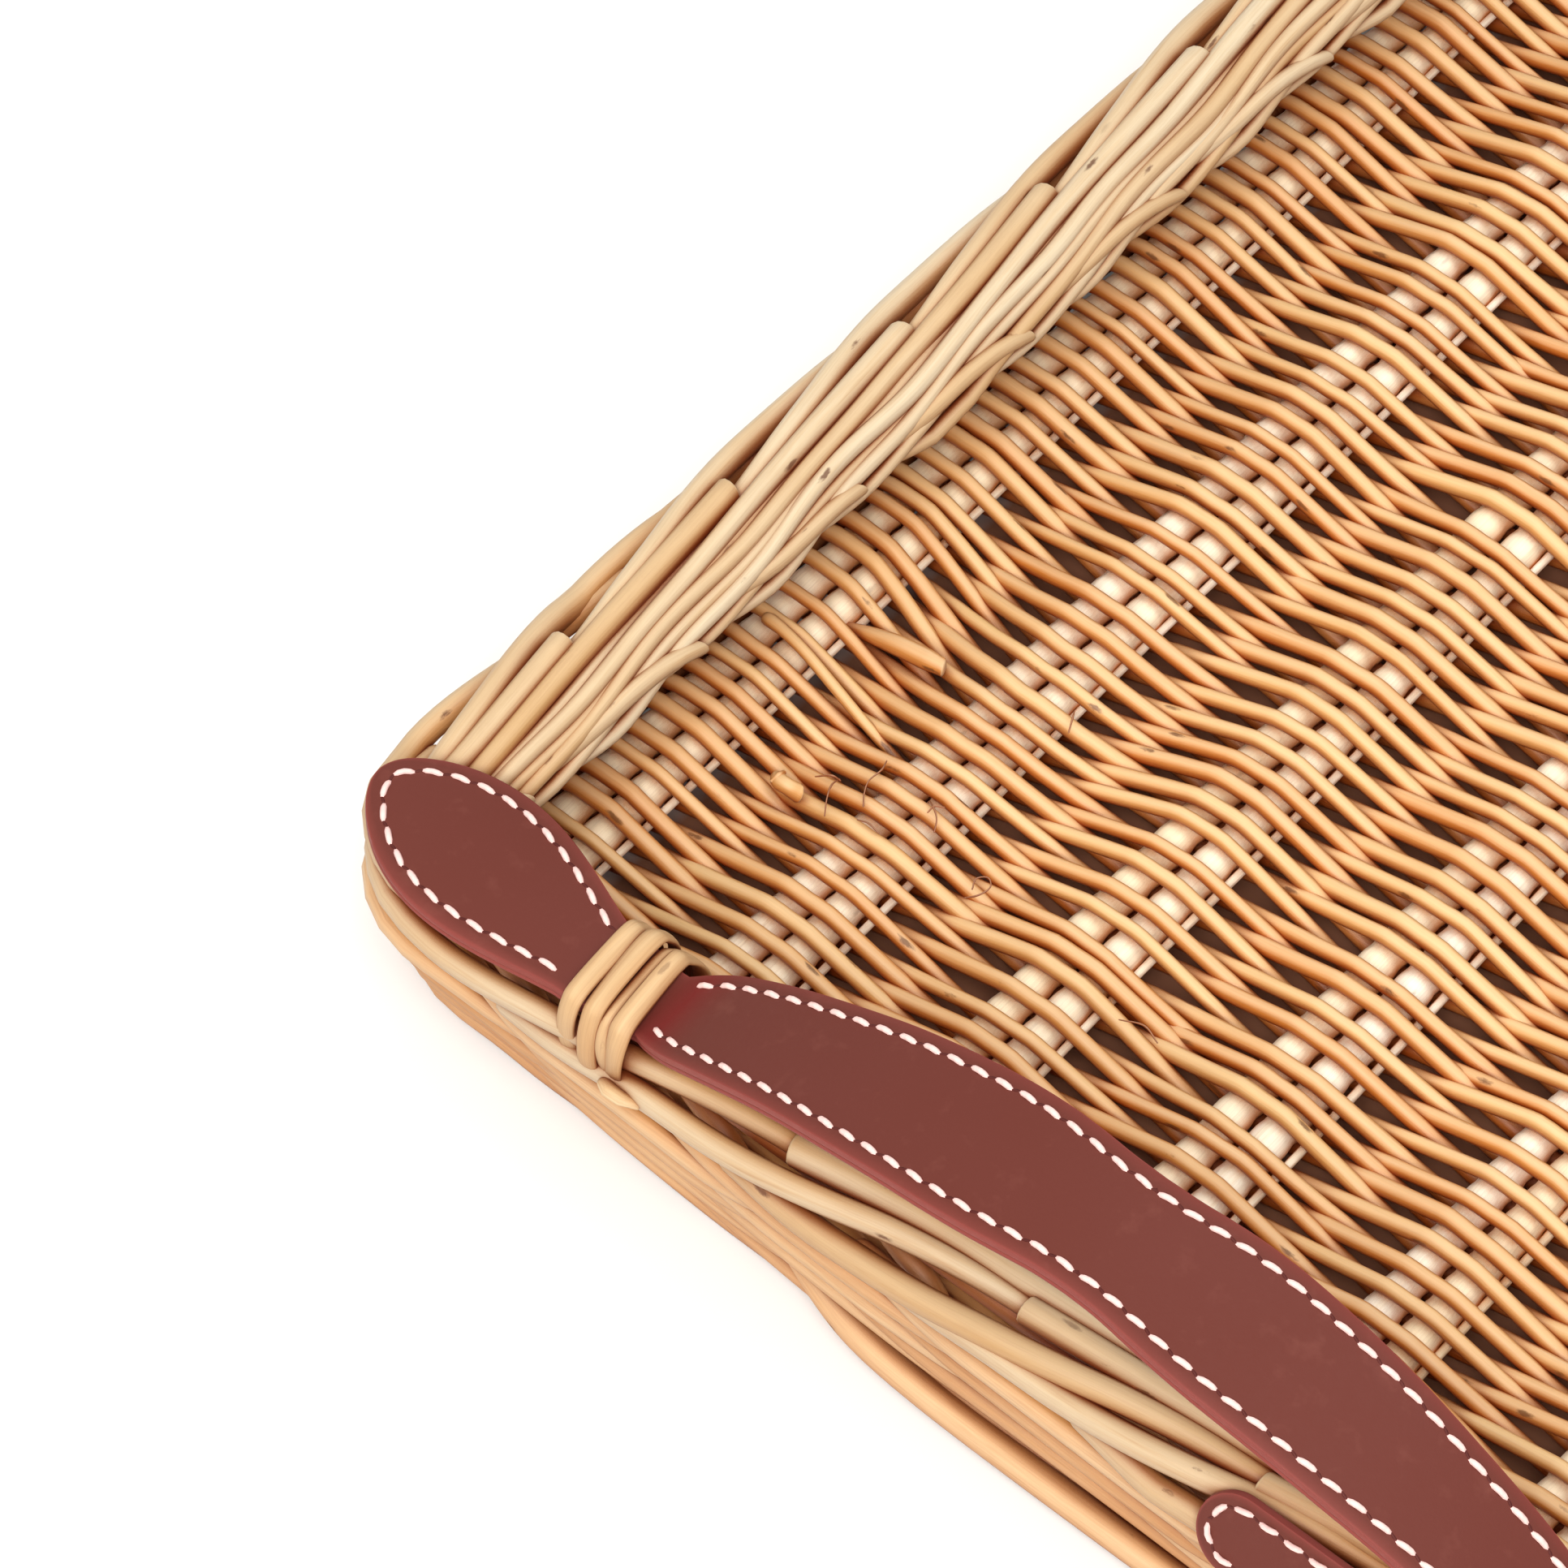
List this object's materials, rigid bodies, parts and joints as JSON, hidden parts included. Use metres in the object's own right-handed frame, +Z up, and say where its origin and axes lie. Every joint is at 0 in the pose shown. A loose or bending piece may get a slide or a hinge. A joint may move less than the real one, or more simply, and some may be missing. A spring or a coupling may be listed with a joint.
{
  "type": "willow tray basket",
  "caption": "Low rectangular willow tray basket with an open woven floor, a rolled rim and a stitched leather handle lashed to each short side.",
  "frame": {"origin": "middle of the footprint, on the plane that the tray rests on", "axes": "+Z up, +X along the short sides that carry the handles, +Y along the long sides to the back"},
  "size_m": [0.327, 0.4845, 0.0825],
  "materials": {
    "willow_pale": "satin",
    "willow_tan": "satin",
    "willow_honey": "satin",
    "willow_skein": "matt",
    "leather": "satin",
    "leather_lining": "matt",
    "thread": "matt"
  },
  "bodies": {
    "tray": {"floor_sticks": "willow_pale", "wefts_odd": "willow_honey", "wefts_even": "willow_honey", "stakes_front": "willow_pale", "stakes_right": "willow_pale", "stakes_back": "willow_pale", "stakes_left": "willow_pale", "wall_front": "willow_tan", "wall_right": "willow_tan", "wall_back": "willow_tan", "wall_left": "willow_tan", "border_front": "willow_pale", "border_right": "willow_pale", "border_back": "willow_pale", "border_left": "willow_pale", "corner_post_back_right": "willow_pale", "corner_post_back_left": "willow_pale", "corner_post_front_left": "willow_pale", "corner_post_front_right": "willow_pale", "corner_wall_back_right": "willow_tan", "corner_wall_back_left": "willow_tan", "corner_wall_front_left": "willow_tan", "corner_wall_front_right": "willow_tan", "corner_border_back_right": "willow_pale", "corner_border_back_left": "willow_pale", "corner_border_front_left": "willow_pale", "corner_border_front_right": "willow_pale", "front_leaf_left": "leather", "front_leaf_left_lining": "leather_lining", "front_leaf_right": "leather", "front_leaf_right_lining": "leather_lining", "front_lashing_left": "willow_skein", "front_lashing_right": "willow_skein", "front_leaf_stitching": "thread", "back_leaf_left": "leather", "back_leaf_left_lining": "leather_lining", "back_leaf_right": "leather", "back_leaf_right_lining": "leather_lining", "back_lashing_left": "willow_skein", "back_lashing_right": "willow_skein", "back_leaf_stitching": "thread", "tag": "leather", "tag_stitching": "thread"},
    "front_handle": {"front_grip": "leather", "front_grip_lining": "leather_lining", "front_grip_stitching": "thread"},
    "back_handle": {"back_grip": "leather", "back_grip_lining": "leather_lining", "back_grip_stitching": "thread"}
  },
  "joints": [
    {"name": "front_handle_rock", "type": "hinge", "parent": "tray", "child": "front_handle", "pos_m": [0, -0.22718, 0.0504], "axis": [1, 0, 0], "range_deg": [-20, 20], "stiffness_Nm_per_rad": 0.05},
    {"name": "back_handle_rock", "type": "hinge", "parent": "tray", "child": "back_handle", "pos_m": [0, 0.22718, 0.0504], "axis": [1, 0, 0], "range_deg": [-20, 20], "stiffness_Nm_per_rad": 0.05}
  ]
}
